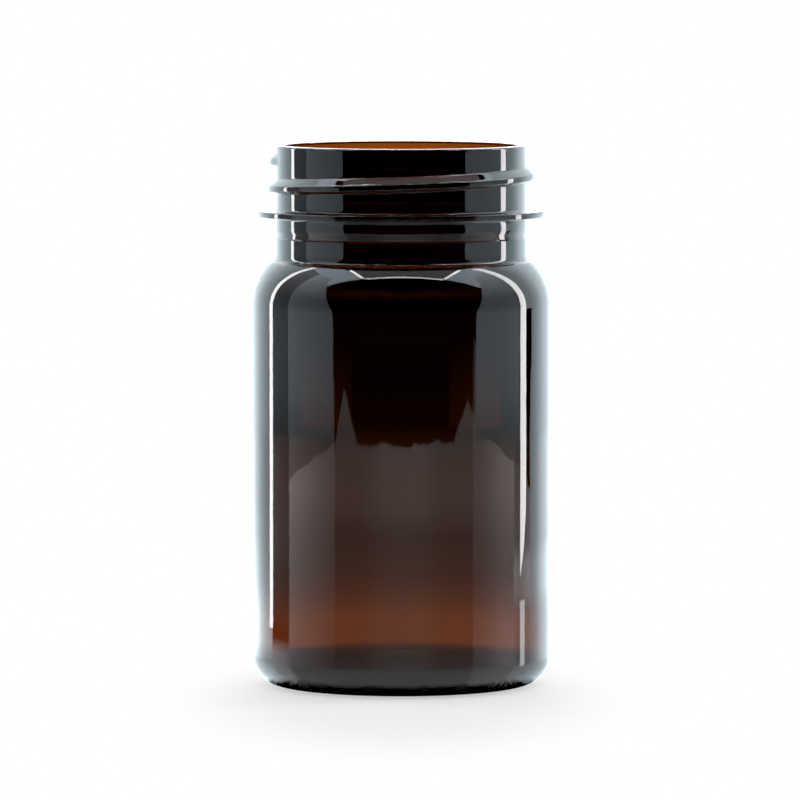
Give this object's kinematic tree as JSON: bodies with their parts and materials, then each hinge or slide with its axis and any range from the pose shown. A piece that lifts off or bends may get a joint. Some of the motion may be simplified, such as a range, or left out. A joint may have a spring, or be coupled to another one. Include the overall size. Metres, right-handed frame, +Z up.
{
  "type": "pill bottle",
  "caption": "Small amber plastic pill bottle: straight round body, rounded shoulder and heel, wide open mouth with a right-hand screw thread and a transfer ring below it.",
  "frame": {"origin": "on the standing plane, at the bottle's axis", "axes": "+Z up along the bottle's axis, out of the mouth; -Y towards the side where the thread's upper end is just round to the left"},
  "size_m": [0.042, 0.042, 0.076],
  "materials": {
    "amber_pet": "clear dark amber PET, smooth as blown in a polished mould"
  },
  "bodies": {
    "root": {"bottle": "amber_pet"}
  },
  "joints": []
}
